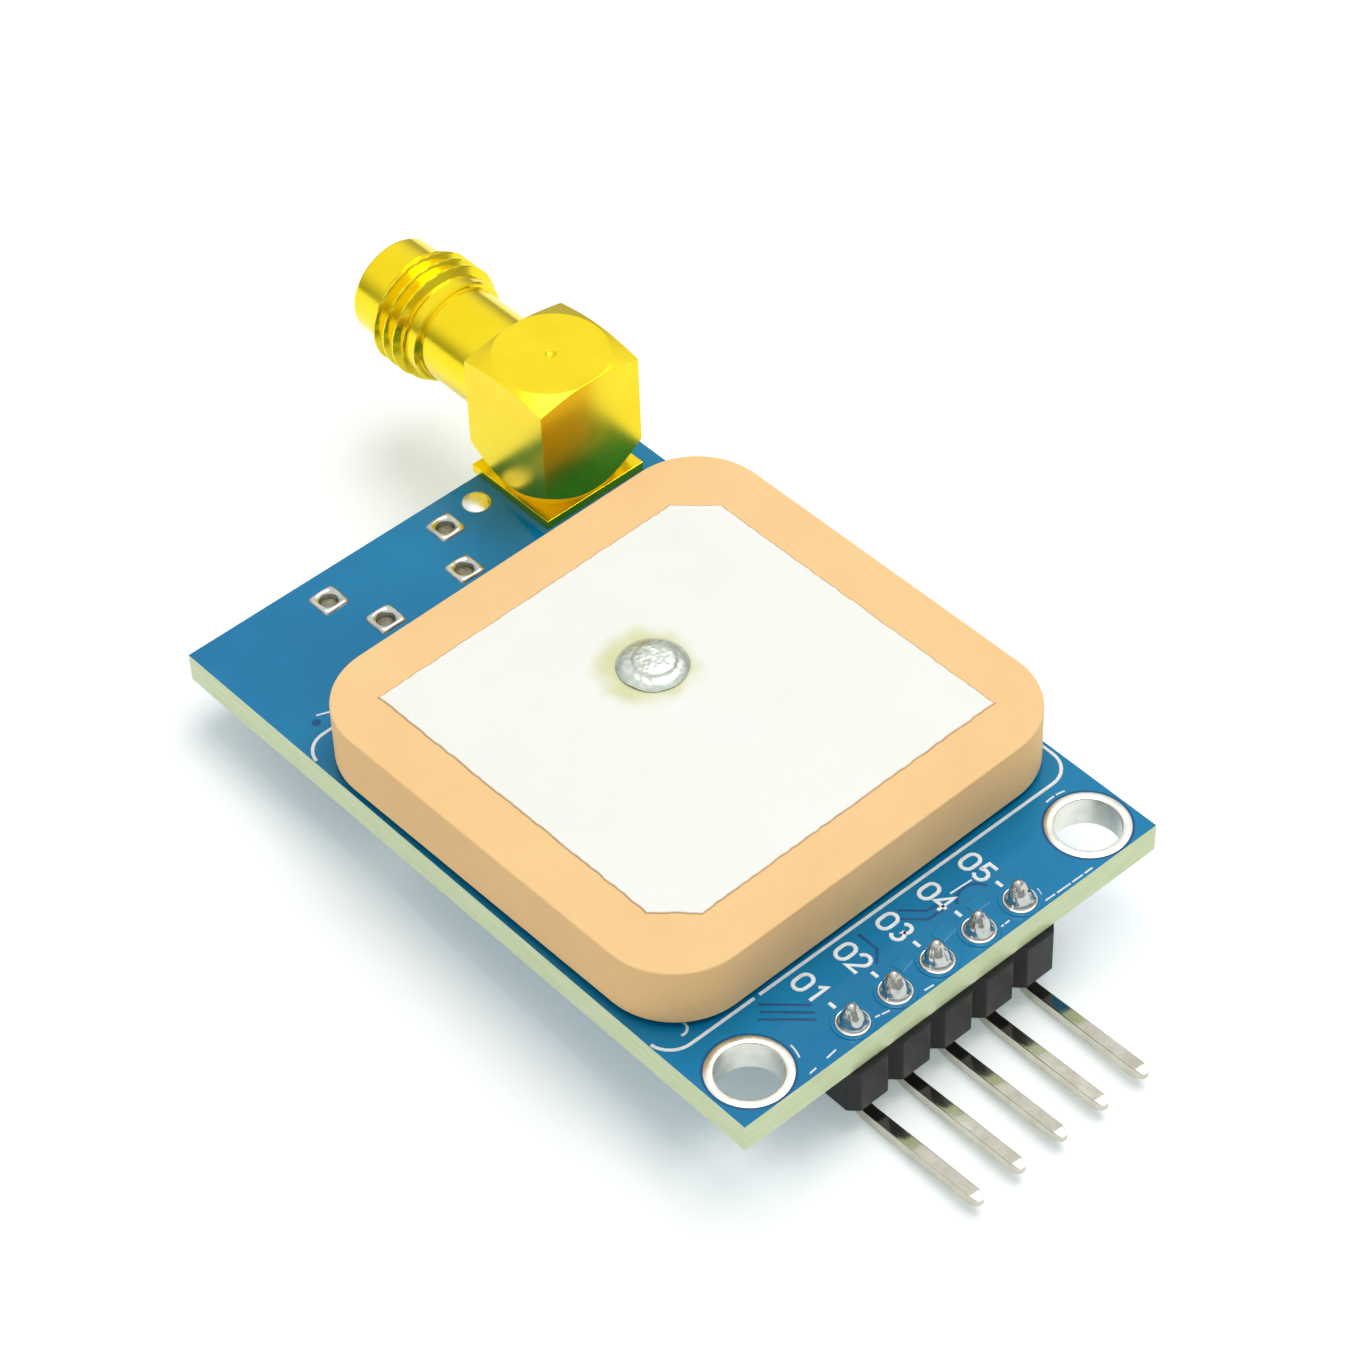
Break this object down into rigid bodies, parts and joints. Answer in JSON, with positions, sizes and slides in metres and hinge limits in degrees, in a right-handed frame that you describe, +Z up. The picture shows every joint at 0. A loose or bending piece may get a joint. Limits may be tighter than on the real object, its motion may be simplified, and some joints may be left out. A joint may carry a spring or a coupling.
{
  "type": "gps module",
  "caption": "Satellite positioning receiver board with a ceramic patch antenna, a right-angle threaded aerial socket, a bent pin header and corner mounting holes.",
  "frame": {"origin": "midway between the two mounting holes, on the underside of the circuit board", "axes": "+Z up through the board towards the ceramic block, +Y along the board from the pin header to the aerial socket's mouth, +X towards the aerial socket's side"},
  "size_m": [0.0253, 0.055, 0.0132],
  "materials": {
    "solder_mask": "gloss",
    "tinned_land": "bright",
    "header_plastic": "matt",
    "tinned_pin": "bright",
    "solder": "bright",
    "antenna_ceramic": "matt",
    "fired_silver": "matt",
    "adhesive": "matt",
    "gilt_brass": "polished",
    "insulator": "waxy",
    "nickel_steel": "satin",
    "black_mould": "matt",
    "carrier_laminate": "gloss",
    "filter_ceramic": "matt",
    "lamp_resin": "clear",
    "capacitor_ceramic": "matt",
    "resistor_glaze": "gloss"
  },
  "bodies": {
    "root": {"adhesive_sheet": "adhesive", "backup_cell": "nickel_steel", "cell_tab_inner": "nickel_steel", "cell_tab_outer": "nickel_steel", "ceramic_block": "antenna_ceramic", "chip_capacitor_1": "capacitor_ceramic", "chip_capacitor_2": "capacitor_ceramic", "chip_capacitor_3": "capacitor_ceramic", "chip_resistor_1": "resistor_glaze", "chip_resistor_2": "resistor_glaze", "circuit_board": "solder_mask", "coax_barrel": "gilt_brass", "coax_contact": "gilt_brass", "coax_elbow": "gilt_brass", "coax_foot_insulator": "insulator", "coax_foot_pin": "gilt_brass", "coax_insulator": "insulator", "coax_leg_solder_1": "solder", "coax_leg_solder_2": "solder", "coax_leg_solder_3": "solder", "coax_leg_solder_4": "solder", "coax_pin_solder": "solder", "data_socket_contacts": "gilt_brass", "data_socket_pad_1": "tinned_land", "data_socket_pad_2": "tinned_land", "data_socket_pad_3": "tinned_land", "data_socket_pad_4": "tinned_land", "data_socket_shell": "nickel_steel", "data_socket_tongue": "black_mould", "feed_pin": "gilt_brass", "feed_solder_bottom": "solder", "feed_solder_top": "solder", "front_end_filter": "filter_ceramic", "ground_electrode": "fired_silver", "header_pin_1": "tinned_pin", "header_pin_2": "tinned_pin", "header_pin_3": "tinned_pin", "header_pin_4": "tinned_pin", "header_pin_5": "tinned_pin", "header_solder_1": "solder", "header_solder_2": "solder", "header_solder_3": "solder", "header_solder_4": "solder", "header_solder_5": "solder", "header_strip": "header_plastic", "memory_chip": "black_mould", "plated_hole_left": "tinned_land", "plated_hole_right": "tinned_land", "receiver_can": "nickel_steel", "receiver_carrier": "carrier_laminate", "receiver_chip": "black_mould", "reference_crystal": "nickel_steel", "regulator_body": "black_mould", "regulator_leads": "nickel_steel", "status_lamp_1": "lamp_resin", "status_lamp_2": "lamp_resin", "test_pad": "tinned_land", "top_electrode": "fired_silver"}
  },
  "joints": []
}
